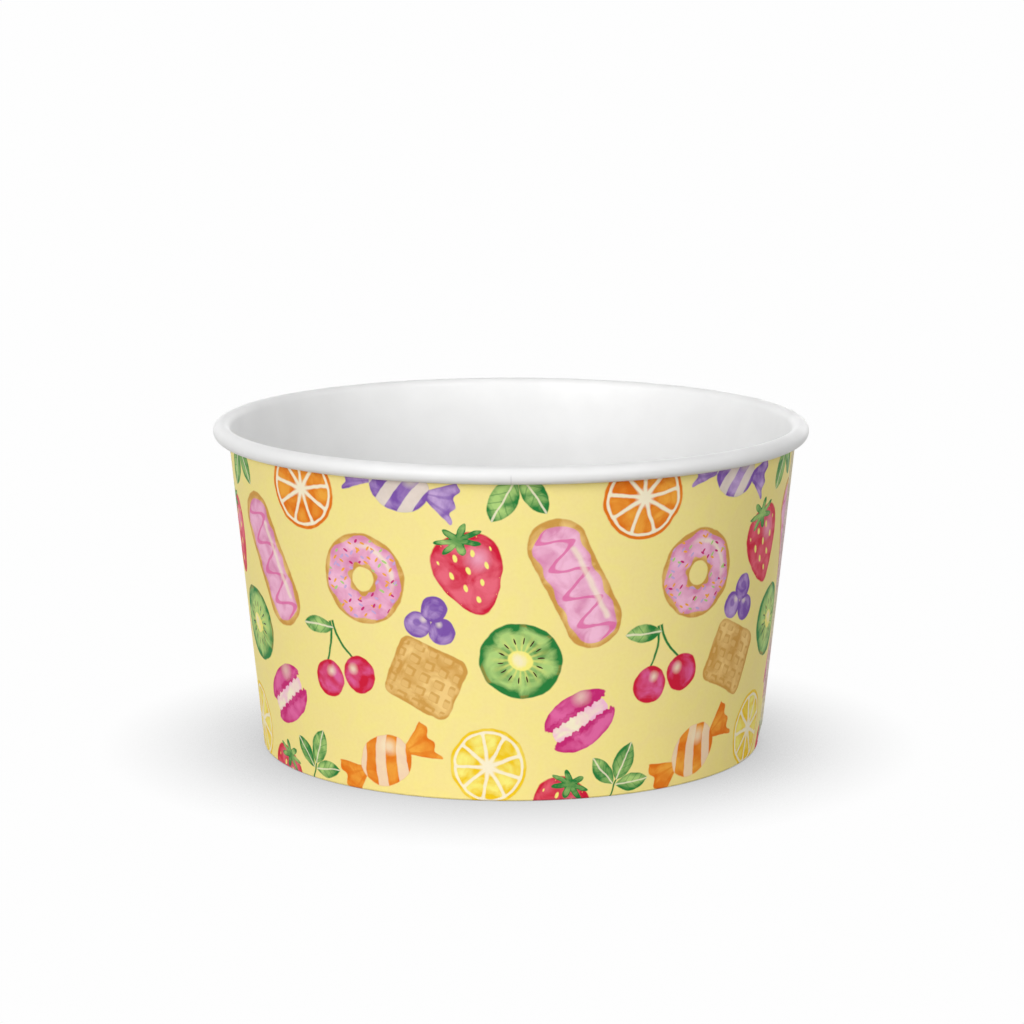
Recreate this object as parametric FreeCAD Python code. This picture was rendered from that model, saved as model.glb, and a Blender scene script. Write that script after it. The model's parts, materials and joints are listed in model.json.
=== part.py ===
"""A single-wall paper dessert cup, built from the two paperboard pieces that a real one has.

sidewall    one fan-shaped blank, wrapped into a cone and lapped on itself down one side. Its top edge
            is curled outward into a hollow bead, and its bottom edge is folded up inside as a hem.
base_disc   a round blank with its rim turned down into a skirt, which the hem grips against the wall.

The cup stands on the fold of its hem, on Z = 0, with its axis on Z. The lapped seam is on +X.
All sizes are in millimetres.
"""

import FreeCAD
import Part
import math
import os

# Driving sizes of the finished cup
RIM_DIAMETER = 96.0
CUP_HEIGHT = 53.0
FOOT_DIAMETER = 80.8
BEAD_DIAMETER = 2.75

# The board, and the film of glue that joins its layers
BOARD = 0.40
GLUE = 0.02

# Curled bead: its free edge tucks in this close to the outside of the wall
BEAD_EDGE_GAP = 0.15

# Foot: the wall turns round the skirt of the base and comes up again as a hem
FOLD_RADIUS = 0.45
HEM_HEIGHT = 5.6

# Base: how far its floor stands above the table, and how its skirt is turned down
FLOOR_HEIGHT = 7.0
SKIRT_BEND = 0.35
SKIRT_END_GAP = 0.30

# Lapped side seam: the outer flap lies this far over the inner one
LAP_WIDTH = 7.0
LAP_EDGE_ANGLE = -3.5
LAP_FOOT_GAP = 0.30
LAP_FOOT_SLANT = 0.60
LAP_GROOVE_SLANT = 1.60
SEAM_LINE_WIDTH = 0.30
SEAM_LINE_DEPTH = 0.12

FULL_TURN = 360.0
QUARTER_TURN = 90.0
AXIS_POINT = FreeCAD.Vector(0, 0, 0)
AXIS = FreeCAD.Vector(0, 0, 1)


def heading(angle):
    """Unit vector at an angle in the section plane, X out from the axis and Z up."""
    return FreeCAD.Vector(math.cos(math.radians(angle)), 0, math.sin(math.radians(angle)))


def wall_slope():
    """Angle of the wall from upright, in degrees, that joins the foot to the bead tangentially."""
    out = (RIM_DIAMETER - BEAD_DIAMETER - FOOT_DIAMETER) / 2
    up = CUP_HEIGHT - BEAD_DIAMETER / 2
    inner_radius = BEAD_DIAMETER / 2 - BOARD
    return math.degrees(math.acos(inner_radius / math.hypot(out, up)) - math.atan2(up, out))


SLOPE = wall_slope()
UP_WALL = heading(QUARTER_TURN - SLOPE)
OUT_OF_WALL = heading(-SLOPE)
FOOT_CORNER = FreeCAD.Vector(FOOT_DIAMETER / 2, 0, 0)
BEAD_CENTRE = FreeCAD.Vector((RIM_DIAMETER - BEAD_DIAMETER) / 2, 0, CUP_HEIGHT - BEAD_DIAMETER / 2)
WALL_TO_BEAD = (BEAD_CENTRE - FOOT_CORNER).dot(UP_WALL)
POCKET = BOARD + 2 * GLUE
FOLD_WIDTH = 2 * BOARD + POCKET


def on_wall(along, outward=0.0):
    """Point in the section plane, measured up the wall's outer face from the foot and out from it."""
    return FOOT_CORNER + UP_WALL * along + OUT_OF_WALL * outward


def along_wall(height, outward=0.0):
    """Distance up the wall at which a line parallel to its face reaches a height."""
    return (height - on_wall(0, outward).z) / UP_WALL.z


class Sheet:
    """Section of a bent sheet, drawn along its right-hand face as one walks from edge to edge."""

    def __init__(self, start, angle, thickness):
        self.point = start
        self.angle = angle
        self.thickness = thickness
        self.right = []
        self.left = []

    def _left_of(self, point, angle):
        return point + heading(angle + QUARTER_TURN) * self.thickness

    def run(self, length):
        """Goes straight on."""
        end = self.point + heading(self.angle) * length
        self.right.append(Part.LineSegment(self.point, end).toShape())
        left = Part.LineSegment(self._left_of(self.point, self.angle), self._left_of(end, self.angle))
        self.left.append(left.toShape())
        self.point = end
        return self

    def bend(self, turn, inside_radius):
        """Turns by an angle, positive to the left, about a bend with this radius on its inside."""
        side = 1 if turn > 0 else -1
        radius = inside_radius + (self.thickness if side > 0 else 0)
        centre = self.point + heading(self.angle + side * QUARTER_TURN) * radius
        right, left = [], []
        for share in (0.0, 0.5, 1.0):
            angle = self.angle + turn * share
            point = centre + heading(angle - side * QUARTER_TURN) * radius
            right.append(point)
            left.append(self._left_of(point, angle))
        self.right.append(Part.Arc(*right).toShape())
        self.left.append(Part.Arc(*left).toShape())
        self.point = right[-1]
        self.angle += turn
        return self

    def face(self):
        """The closed section, with both of the sheet's edges cut square."""
        start = Part.LineSegment(self.left[0].Vertexes[0].Point, self.right[0].Vertexes[0].Point)
        end = Part.LineSegment(self.right[-1].Vertexes[-1].Point, self.left[-1].Vertexes[-1].Point)
        edges = [start.toShape(), *self.right, end.toShape(), *reversed(self.left)]
        return Part.Face(Part.Wire(Part.__sortEdges__(edges)))


def turned(face, first_angle=0.0, sweep=FULL_TURN):
    """A section turned about the cup's axis, from one angle through a sweep."""
    solid = face.revolve(AXIS_POINT, AXIS, sweep)
    solid.rotate(AXIS_POINT, AXIS, first_angle)
    return solid


def wall_strip(low, high, inner, outer, foot_slant=0.0, top_slant=0.0):
    """Section between two distances up the wall and two distances out from its outer face.

    The slants shorten its outer side, at the foot and at the top."""
    corners = [
        on_wall(low, inner),
        on_wall(low + foot_slant, outer),
        on_wall(high - top_slant, outer),
        on_wall(high, inner),
    ]
    return Part.Face(Part.makePolygon([*corners, corners[0]]))


def inside_of_tangent_plane(angle, outward):
    """Block on the axis side of the plane that touches a cone parallel to the wall at an angle."""
    size = 2 * RIM_DIAMETER
    block = Part.makeBox(size, size, size, FreeCAD.Vector(-size, -size / 2, -size / 2))
    block.rotate(AXIS_POINT, FreeCAD.Vector(0, 1, 0), SLOPE)
    block.translate(on_wall(0, outward))
    block.rotate(AXIS_POINT, AXIS, angle)
    return block


def blank_solid():
    """The wrapped blank before its seam: hem, fold, wall and curled bead, as one bent sheet."""
    fold_end = FOLD_RADIUS * math.tan(math.radians(QUARTER_TURN - SLOPE) / 2)
    hem_fold_end = FOLD_RADIUS * math.tan(math.radians(QUARTER_TURN + SLOPE) / 2)
    hem_low = along_wall(0, -FOLD_WIDTH) + hem_fold_end
    hem_high = along_wall(HEM_HEIGHT, -FOLD_WIDTH)
    flat = FOLD_WIDTH / math.cos(math.radians(SLOPE)) - fold_end - hem_fold_end
    inside_bend = FOLD_RADIUS - BOARD

    bead_inside = BEAD_DIAMETER / 2 - BOARD
    tuck = math.degrees(math.acos((bead_inside - BEAD_EDGE_GAP) / (BEAD_DIAMETER / 2)))

    sheet = Sheet(on_wall(hem_high, -FOLD_WIDTH), -QUARTER_TURN - SLOPE, BOARD)
    sheet.run(hem_high - hem_low)
    sheet.bend(QUARTER_TURN + SLOPE, inside_bend)
    sheet.run(flat)
    sheet.bend(QUARTER_TURN - SLOPE, inside_bend)
    sheet.run(WALL_TO_BEAD - fold_end)
    sheet.bend(tuck - FULL_TURN, bead_inside)
    return turned(sheet.face())


def seam_angles():
    """Angles of the outer flap's edge, of the inner flap's edge, and of where the wall is round again.

    Past the inner flap's edge the outer flap comes down to the cone along a tangent."""
    middle_radius = (FOOT_DIAMETER / 2 + BEAD_CENTRE.x) / 2
    inner_flap = LAP_EDGE_ANGLE + math.degrees(LAP_WIDTH / middle_radius)
    landing = inner_flap + math.degrees(math.acos(middle_radius / (middle_radius + BOARD)))
    return LAP_EDGE_ANGLE, inner_flap, landing


def lap():
    """The outer flap where it lies over the inner one and ramps down past its edge."""
    start, _, landing = seam_angles()
    top = WALL_TO_BEAD - BEAD_DIAMETER / 4
    strip = wall_strip(LAP_FOOT_GAP, top, -BOARD / 2, BOARD, foot_slant=LAP_FOOT_SLANT)
    return turned(strip, start, landing - start).common(inside_of_tangent_plane(landing, 0))


def lap_groove():
    """The hollow that the ramp leaves inside, beside the inner flap's edge."""
    _, inner_flap, landing = seam_angles()
    low = along_wall(FLOOR_HEIGHT, -BOARD) - BOARD
    strip = wall_strip(low, WALL_TO_BEAD, -2 * BOARD, 0, top_slant=LAP_GROOVE_SLANT)
    groove = turned(strip, inner_flap, landing - inner_flap)
    return groove.common(inside_of_tangent_plane(landing, -BOARD))


def hem_lap():
    """The seam's second layer where it comes up inside the foot with the hem."""
    start, inner_flap, _ = seam_angles()
    low = LAP_FOOT_GAP + LAP_FOOT_SLANT
    high = along_wall(HEM_HEIGHT, -FOLD_WIDTH)
    inner, outer = -FOLD_WIDTH - BOARD, -FOLD_WIDTH + BOARD / 2
    strip = wall_strip(low, high, inner, outer, foot_slant=-LAP_FOOT_SLANT)
    return turned(strip, start, inner_flap - start)


def bead_seam_line():
    """The hairline that the inner flap's edge leaves across the ironed bead."""
    _, inner_flap, _ = seam_angles()
    reach = BEAD_DIAMETER / 2
    outer = Part.makeCircle(reach + SEAM_LINE_DEPTH, BEAD_CENTRE, FreeCAD.Vector(0, 1, 0))
    inner = Part.makeCircle(reach - SEAM_LINE_DEPTH, BEAD_CENTRE, FreeCAD.Vector(0, 1, 0))
    ring = Part.Face(Part.Wire(outer)).cut(Part.Face(Part.Wire(inner)))
    wall_side = wall_strip(0, WALL_TO_BEAD, -BEAD_DIAMETER, reach - BOARD)
    line = math.degrees(SEAM_LINE_WIDTH / (RIM_DIAMETER / 2))
    return turned(ring.cut(wall_side).Faces[0], inner_flap, line)


def sidewall():
    """The wrapped, lapped, curled and hemmed wall, one piece of board."""
    wall = blank_solid().fuse([lap(), hem_lap()])
    return wall.cut([lap_groove(), bead_seam_line()]).removeSplitter()


def base_disc():
    """The round base, its skirt turned down into the pocket between the wall and the hem."""
    bend_radius = SKIRT_BEND + BOARD
    inside_of_wall = -BOARD - GLUE
    corner = along_wall(FLOOR_HEIGHT, inside_of_wall)
    bend_length = bend_radius * math.tan(math.radians(QUARTER_TURN + SLOPE) / 2)
    floor_radius = on_wall(corner, inside_of_wall).x - bend_length
    skirt_top = corner - bend_length
    skirt_end = along_wall(BOARD + SKIRT_END_GAP, inside_of_wall)

    sheet = Sheet(FreeCAD.Vector(0, 0, FLOOR_HEIGHT - BOARD), 0.0, BOARD)
    sheet.run(floor_radius)
    sheet.bend(-QUARTER_TURN - SLOPE, SKIRT_BEND)
    sheet.run(skirt_top - skirt_end)
    return turned(sheet.face())


def main():
    os.makedirs("parts", exist_ok=True)
    for name, make in (("sidewall", sidewall), ("base_disc", base_disc)):
        shape = make()
        shape.exportStep(f"parts/{name}.step")
        box = shape.BoundBox
        print(f"{name}: {len(shape.Solids)} solid, valid {shape.isValid()}, {shape.Volume:.1f} mm3,",
              f"X {box.XMin:.2f} to {box.XMax:.2f}, Z {box.ZMin:.2f} to {box.ZMax:.2f}")


main()
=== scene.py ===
"""Finish of a paper dessert cup: its two pieces of board, the print on the wall, and a plain studio.

Both pieces are made as bent sheets. A section of straight runs and round bends is followed from edge to
edge, and is carried round the cup's axis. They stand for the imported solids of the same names.
"""

import json
import math
from collections import namedtuple

import bmesh
import bpy
import numpy as np
from bpy.props import FloatProperty, FloatVectorProperty, PointerProperty
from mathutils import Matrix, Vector

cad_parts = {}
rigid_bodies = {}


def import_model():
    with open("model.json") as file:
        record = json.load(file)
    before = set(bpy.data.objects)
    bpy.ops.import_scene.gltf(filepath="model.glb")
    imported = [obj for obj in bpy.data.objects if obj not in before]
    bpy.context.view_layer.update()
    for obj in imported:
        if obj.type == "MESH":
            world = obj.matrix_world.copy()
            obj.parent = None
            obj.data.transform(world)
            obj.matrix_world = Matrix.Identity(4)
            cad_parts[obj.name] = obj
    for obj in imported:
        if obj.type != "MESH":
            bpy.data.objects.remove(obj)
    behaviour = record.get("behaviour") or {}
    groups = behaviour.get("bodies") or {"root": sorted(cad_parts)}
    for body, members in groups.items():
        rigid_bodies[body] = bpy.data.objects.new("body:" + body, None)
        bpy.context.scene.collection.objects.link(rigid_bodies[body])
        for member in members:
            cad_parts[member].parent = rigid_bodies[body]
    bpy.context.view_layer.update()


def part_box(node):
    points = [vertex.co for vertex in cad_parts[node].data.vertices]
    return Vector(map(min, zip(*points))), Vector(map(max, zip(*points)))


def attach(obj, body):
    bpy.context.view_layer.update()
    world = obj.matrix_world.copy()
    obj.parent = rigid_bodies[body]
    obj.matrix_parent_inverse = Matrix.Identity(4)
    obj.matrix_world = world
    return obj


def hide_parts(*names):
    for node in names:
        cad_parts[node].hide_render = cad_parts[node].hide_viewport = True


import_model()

bl_info = {
    "name": "Paper dessert cup",
    "version": (1, 0, 0),
    "blender": (4, 5, 0),
    "location": "3D View > Sidebar > Dessert cup",
    "description": "Makes a printed paper dessert cup and a plain studio round it",
    "category": "Add Mesh",
}

MM = 0.001
WALL_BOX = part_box("sidewall")
BASE_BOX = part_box("base_disc")
FULL_TURN = 2 * math.pi
QUARTER_TURN = math.pi / 2


def distance(name, description, default):
    """A length in metres that the user can change."""
    return FloatProperty(
        name=name, description=description, default=default, min=0.0, unit="LENGTH", subtype="DISTANCE"
    )


def ink(name, description, default):
    """A colour as it looks on screen, each channel from 0 to 1, that the user can change."""
    return FloatVectorProperty(
        name=name, description=description, default=default, size=3, min=0.0, max=1.0, subtype="COLOR_GAMMA"
    )


def brightness(name, description, default):
    """How bright a light is, as a plain factor that the user can change."""
    return FloatProperty(
        name=name, description=description, default=default, min=0.0, unit="NONE", subtype="FACTOR"
    )


class CupSizes(bpy.types.PropertyGroup):
    """Sizes of the finished cup and of the board that it is made of."""

    rim: distance("Rim", "Diameter across the outside of the rolled bead", WALL_BOX[1].y - WALL_BOX[0].y)
    height: distance("Height", "From the table to the top of the bead", WALL_BOX[1].z)
    foot: distance("Foot", "Diameter at which the wall's outer face would meet the table", 80.8 * MM)
    bead: distance("Bead", "Thickness of the rolled bead", 2.75 * MM)
    board: distance("Board", "Thickness of the paperboard", 0.40 * MM)
    glue: distance("Glue", "Thickness of the film of glue between two layers", 0.02 * MM)
    bead_gap: distance("Bead gap", "Between the bead's free edge and the wall", 0.15 * MM)
    fold: distance("Fold", "Outside radius of the foot's fold", 0.45 * MM)
    hem: distance("Hem", "Height of the hem inside the foot", 5.6 * MM)
    floor: distance("Floor", "Height of the base's upper face", BASE_BOX[1].z)
    skirt_bend: distance("Skirt bend", "Inside radius where the base turns down", 0.35 * MM)
    skirt_end: distance("Skirt end", "Height of the skirt's lower edge", BASE_BOX[0].z)
    lap: distance("Lap", "Width of the side seam's overlap", 7.0 * MM)
    knurl: distance("Knurl", "Depth of the grooves that are rolled into the hem", 0.10 * MM)


class CupInks(bpy.types.PropertyGroup):
    """Colours of the board and of the print."""

    board: ink("Board", "Coated white face of the board", (0.946, 0.946, 0.944))
    raw: ink("Raw edge", "Cut edge of the board", (0.93, 0.91, 0.87))
    ground: ink("Ground", "Ground of the print", (0.984, 0.915, 0.606))
    cream: ink("Cream", "Palest ink", (0.995, 0.955, 0.84))
    dark: ink("Dark", "Ink of seeds and stalks", (0.24, 0.13, 0.12))
    pink_pale: ink("Pale pink", "Icing and highlights", (0.985, 0.765, 0.875))
    pink_deep: ink("Deep pink", "Shade of the pink inks", (0.885, 0.56, 0.72))
    rose_pale: ink("Pale rose", "Light parts of the magenta inks", (0.905, 0.42, 0.66))
    rose_deep: ink("Deep rose", "Shade of the magenta inks", (0.8, 0.17, 0.47))
    red_pale: ink("Pale red", "Light parts of the berries", (0.93, 0.42, 0.5))
    red_deep: ink("Deep red", "Shade of the berries", (0.83, 0.12, 0.24))
    orange_pale: ink("Pale orange", "Light parts of the orange", (0.975, 0.68, 0.26))
    orange_deep: ink("Deep orange", "Shade of the orange", (0.91, 0.47, 0.1))
    lemon_pale: ink("Pale lemon", "Light parts of the lemon", (0.995, 0.955, 0.52))
    lemon_deep: ink("Deep lemon", "Shade of the lemon", (0.96, 0.80, 0.13))
    green_pale: ink("Pale green", "Light parts of the leaves", (0.7, 0.84, 0.5))
    green_deep: ink("Deep green", "Shade of the leaves", (0.16, 0.5, 0.24))
    violet_pale: ink("Pale violet", "Light parts of the violet inks", (0.8, 0.68, 0.87))
    violet_deep: ink("Deep violet", "Shade of the violet inks", (0.5, 0.34, 0.68))
    tan_pale: ink("Pale tan", "Light parts of the pastry", (0.965, 0.82, 0.53))
    tan_deep: ink("Deep tan", "Crust of the pastry", (0.83, 0.62, 0.3))


class CupStudio(bpy.types.PropertyGroup):
    """Camera, lights and floor."""

    camera_back: distance("Camera distance", "In front of the cup's axis", 0.5553)
    camera_up: distance("Camera height", "Above the table", 0.1389)
    camera_side: distance("Camera side", "To the right of the cup's axis", 0.145 * MM)
    camera_down: FloatProperty(
        name="Camera tilt", description="Below the horizon", default=math.radians(10.336), subtype="ANGLE"
    )
    lens: FloatProperty(
        name="Lens", description="Focal length", default=122.2, unit="CAMERA", subtype="DISTANCE_CAMERA"
    )
    horizon: brightness("Horizon", "Light from the sky's lower edge", 0.48)
    zenith: brightness("Zenith", "Light from the sky overhead", 0.42)
    key: brightness("Key", "Strength of the light at front left", 2.04)
    fill: brightness("Fill", "Strength of the light at front right", 1.05)
    back_right: brightness("Back right", "Strength of the light at the back, on the right", 0.62)
    back_left: brightness("Back left", "Strength of the light at the back, on the left", 0.50)


def linear(colour):
    """A screen colour as the four numbers of a shader's colour."""
    channels = [c / 12.92 if c <= 0.04045 else ((c + 0.055) / 1.055) ** 2.4 for c in colour]
    return (*channels, 1.0)


# One value per station of a section: its place, its right-hand normal, and its distance from the start
Stations = namedtuple("Stations", "x z right_x right_z along")


class Section:
    """Section of a bent sheet, followed along its right-hand face from one edge to the other."""

    def __init__(self, x, z, heading, board):
        self.x = x
        self.z = z
        self.heading = heading
        self.board = board
        self.along = 0.0
        self.stations = []
        self._mark()

    def _mark(self):
        right = (math.sin(self.heading), -math.cos(self.heading))
        self.stations.append((self.x, self.z, *right, self.along))

    def run(self, length, steps=1):
        """Goes straight on."""
        for _ in range(steps):
            self.x += math.cos(self.heading) * length / steps
            self.z += math.sin(self.heading) * length / steps
            self.along += length / steps
            self._mark()

    def bend(self, turn, inside_radius, steps):
        """Turns by an angle, positive to the left, about a bend with this radius on its inside."""
        side = math.copysign(1.0, turn)
        radius = inside_radius + (self.board if turn > 0 else 0.0)
        centre_x = self.x - math.sin(self.heading) * radius * side
        centre_z = self.z + math.cos(self.heading) * radius * side
        for _ in range(steps):
            self.heading += turn / steps
            self.x = centre_x + math.sin(self.heading) * radius * side
            self.z = centre_z - math.cos(self.heading) * radius * side
            self.along += radius * abs(turn) / steps
            self._mark()

    def upright(self):
        """The stations as upright columns of numbers, which spread over a row of angles."""
        return Stations(*np.array(self.stations).T[:, :, None])


# Where the outer flap of the side seam ends, as an angle round the axis from X
OUTER_FLAP = math.radians(-3.5)


class CupShape:
    """What follows from the cup's sizes, in the plane of its section: X out from the axis and Z up."""

    def __init__(self, sizes):
        self.sizes = sizes
        self.curl_radius = sizes.bead / 2 - sizes.board
        self.fold_width = 3 * sizes.board + 2 * sizes.glue

        # The wall's outer face goes straight up from the foot until it touches the hollow of the bead
        out = (sizes.rim - sizes.bead - sizes.foot) / 2
        up = sizes.height - sizes.bead / 2
        self.slope = math.acos(self.curl_radius / math.hypot(out, up)) - math.atan2(up, out)
        self.wall_length = out * math.sin(self.slope) + up * math.cos(self.slope)

        # Past the inner flap's edge, the outer flap goes straight on until it lands on the wall
        self.middle_radius = (sizes.foot + sizes.rim - sizes.bead) / 4
        self.lap_angle = sizes.lap / self.middle_radius
        self.inner_flap = OUTER_FLAP + self.lap_angle
        self.ramp_angle = math.acos(self.middle_radius / (self.middle_radius + sizes.board))

    def on_wall(self, along, outward):
        """Place at a distance up the wall and out from its outer face."""
        x = self.sizes.foot / 2 + along * math.sin(self.slope) + outward * math.cos(self.slope)
        z = along * math.cos(self.slope) - outward * math.sin(self.slope)
        return x, z

    def along_wall(self, height, outward):
        """Distance up the wall at which a line parallel to its face reaches a height."""
        return (height + outward * math.sin(self.slope)) / math.cos(self.slope)


# How finely the sheets are divided
HEM_STEPS = 8
FOLD_STEPS = 8
WALL_STEPS = 18
CURL_STEPS = 30
BASE_STEPS = 12
SKIRT_BEND_STEPS = 8
SKIRT_STEPS = 4
WALL_COLUMNS = 480
BASE_COLUMNS = 240
COLUMNS_PER_KNURL = 3

# Stretches of the blank over which pressing under the foot, ironing round the bead and knurling set in or
# end. They are measured up from the foot, up from where the curl starts, and from the foot back up the hem.
PRESSED_FROM = (-2.2 * MM, -1.5 * MM)
PRESSED_TO = (0.3 * MM, 1.2 * MM)
IRONED_FROM = (-1.0 * MM, 0.6 * MM)
IRONED_SHARE = 0.5
KNURLS_FROM = (1.5 * MM, 2.1 * MM)
KNURLS_TO = (4.6 * MM, 5.2 * MM)
LAP_EASE = math.radians(1.5)

# How a piece's faces are joined: points this near are one, and steeper edges stay sharp
WELD_DISTANCE = 1e-7
SHARP_ANGLE = math.radians(40.0)


def wall_section(shape):
    """Section of the wall's blank from the hem's edge to the bead's, and the foot's distance along it."""
    sizes = shape.sizes
    fold_end = sizes.fold * math.tan((QUARTER_TURN - shape.slope) / 2)
    hem_fold_end = sizes.fold * math.tan((QUARTER_TURN + shape.slope) / 2)
    hem_low = shape.along_wall(0.0, -shape.fold_width) + hem_fold_end
    hem_high = shape.along_wall(sizes.hem, -shape.fold_width)
    flat = shape.fold_width / math.cos(shape.slope) - fold_end - hem_fold_end
    tuck = math.acos((shape.curl_radius - sizes.bead_gap) / (sizes.bead / 2))

    start = shape.on_wall(hem_high, -shape.fold_width)
    section = Section(*start, -QUARTER_TURN - shape.slope, sizes.board)
    section.run(hem_high - hem_low, HEM_STEPS)
    section.bend(QUARTER_TURN + shape.slope, sizes.fold - sizes.board, FOLD_STEPS)
    section.run(flat)
    section.bend(QUARTER_TURN - shape.slope, sizes.fold - sizes.board, FOLD_STEPS)
    foot = section.along - fold_end
    section.run(shape.wall_length - fold_end, WALL_STEPS)
    section.bend(tuck - FULL_TURN, shape.curl_radius, CURL_STEPS)
    return section.upright(), foot


def base_section(shape):
    """Section of the base from its centre to its skirt's edge."""
    sizes = shape.sizes
    bend_radius = sizes.skirt_bend + sizes.board
    inside_of_wall = -sizes.board - sizes.glue
    corner = shape.along_wall(sizes.floor, inside_of_wall)
    bend_length = bend_radius * math.tan((QUARTER_TURN + shape.slope) / 2)
    floor_radius = shape.on_wall(corner, inside_of_wall)[0] - bend_length
    skirt_end = shape.along_wall(sizes.skirt_end, inside_of_wall)

    section = Section(0.0, sizes.floor - sizes.board, 0.0, sizes.board)
    section.run(floor_radius, BASE_STEPS)
    section.bend(-QUARTER_TURN - shape.slope, sizes.skirt_bend, SKIRT_BEND_STEPS)
    section.run(corner - bend_length - skirt_end, SKIRT_STEPS)
    return section.upright()


def smooth(value, start, end):
    """0 before start and 1 after end, with an easy curve between."""
    share = np.clip((value - start) / (end - start), 0.0, 1.0)
    return share * share * (3.0 - 2.0 * share)


def lap_layers(shape, up, angles):
    """Distances of the blank's printed and white faces out from where the printed face would be.

    The first values say how far up from the foot each station is. The angles run from the inner flap's edge
    once round the cup and on over it, to the outer flap's edge. Where the two flaps meet they are ironed
    thinner round the bead, and pressed flat under the foot."""
    board, full_glue = shape.sizes.board, shape.sizes.glue
    under_foot = smooth(up, *PRESSED_FROM) * (1 - smooth(up, *PRESSED_TO))
    ironed = IRONED_SHARE * smooth(up - shape.wall_length, *IRONED_FROM)
    rise = board * (1 - under_foot - ironed)
    glue = full_glue * (1 - under_foot)
    pressed = full_glue - glue
    shared = (board + rise) / 2

    before_landing = np.clip(angles - (FULL_TURN - shape.ramp_angle), 0.0, shape.ramp_angle)
    ramp = (1 / np.cos(before_landing) - 1) / (1 / math.cos(shape.ramp_angle) - 1)
    under = 1 - smooth(angles, shape.lap_angle, shape.lap_angle + LAP_EASE)

    printed = (rise + glue) * ramp - (board - shared) * under
    thickness = board - (board - shared) * np.maximum(ramp, under) - pressed * ramp
    return printed, printed - thickness


def knurls(shape, up, count):
    """Depth of the short upright grooves that are rolled into the hem, one in every few columns."""
    band = smooth(-up, *KNURLS_FROM) * (1 - smooth(-up, *KNURLS_TO))
    grooved = np.arange(count) % COLUMNS_PER_KNURL == 0
    return shape.sizes.knurl * band * grooved


def carried_round(stations, outward, angles):
    """Points of one face: a section's stations moved out along their normals and turned about the axis."""
    radius = stations.x + stations.right_x * outward
    height = stations.z + stations.right_z * outward
    points = np.broadcast_arrays(radius * np.cos(angles), radius * np.sin(angles), height)
    return np.stack(points, axis=-1)


def sheet_mesh(name, right, left, closed):
    """Mesh of a sheet from the points of its two faces. Slots: 0 right face, 1 left face, 2 cut edges."""
    rows, columns = right.shape[:2]
    index = np.arange(2 * rows * columns).reshape(2, rows, columns)
    if closed:
        index = np.concatenate([index, index[:, :, :1]], axis=2)
    near, far = index
    quads = [
        (near[:-1, :-1], near[:-1, 1:], near[1:, 1:], near[1:, :-1], 0),
        (far[:-1, :-1], far[1:, :-1], far[1:, 1:], far[:-1, 1:], 1),
        (near[0, :-1], far[0, :-1], far[0, 1:], near[0, 1:], 2),
        (near[-1, :-1], near[-1, 1:], far[-1, 1:], far[-1, :-1], 2),
    ]
    if not closed:
        quads.append((near[:-1, 0], near[1:, 0], far[1:, 0], far[:-1, 0], 2))
        quads.append((near[:-1, -1], far[:-1, -1], far[1:, -1], near[1:, -1], 2))
    faces = np.concatenate([np.stack(q[:4], axis=-1).reshape(-1, 4) for q in quads])
    slots = np.concatenate([np.full(q[0].size, q[4]) for q in quads])
    mesh = bpy.data.meshes.new(name)
    mesh.from_pydata(np.concatenate([right.reshape(-1, 3), left.reshape(-1, 3)]).tolist(), [], faces.tolist())
    mesh.polygons.foreach_set("material_index", slots.astype(np.int32))
    return mesh


def finished_piece(name, mesh, materials):
    """Object of a piece, smooth apart from the board's cut edges."""
    welded = bmesh.new()
    welded.from_mesh(mesh)
    bmesh.ops.remove_doubles(welded, verts=welded.verts, dist=WELD_DISTANCE)
    bmesh.ops.recalc_face_normals(welded, faces=welded.faces)
    welded.to_mesh(mesh)
    welded.free()
    mesh.shade_smooth()
    mesh.set_sharp_from_angle(angle=SHARP_ANGLE)
    for material in materials:
        mesh.materials.append(material)
    piece = bpy.data.objects.new(name, mesh)
    bpy.context.scene.collection.objects.link(piece)
    return piece


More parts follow.
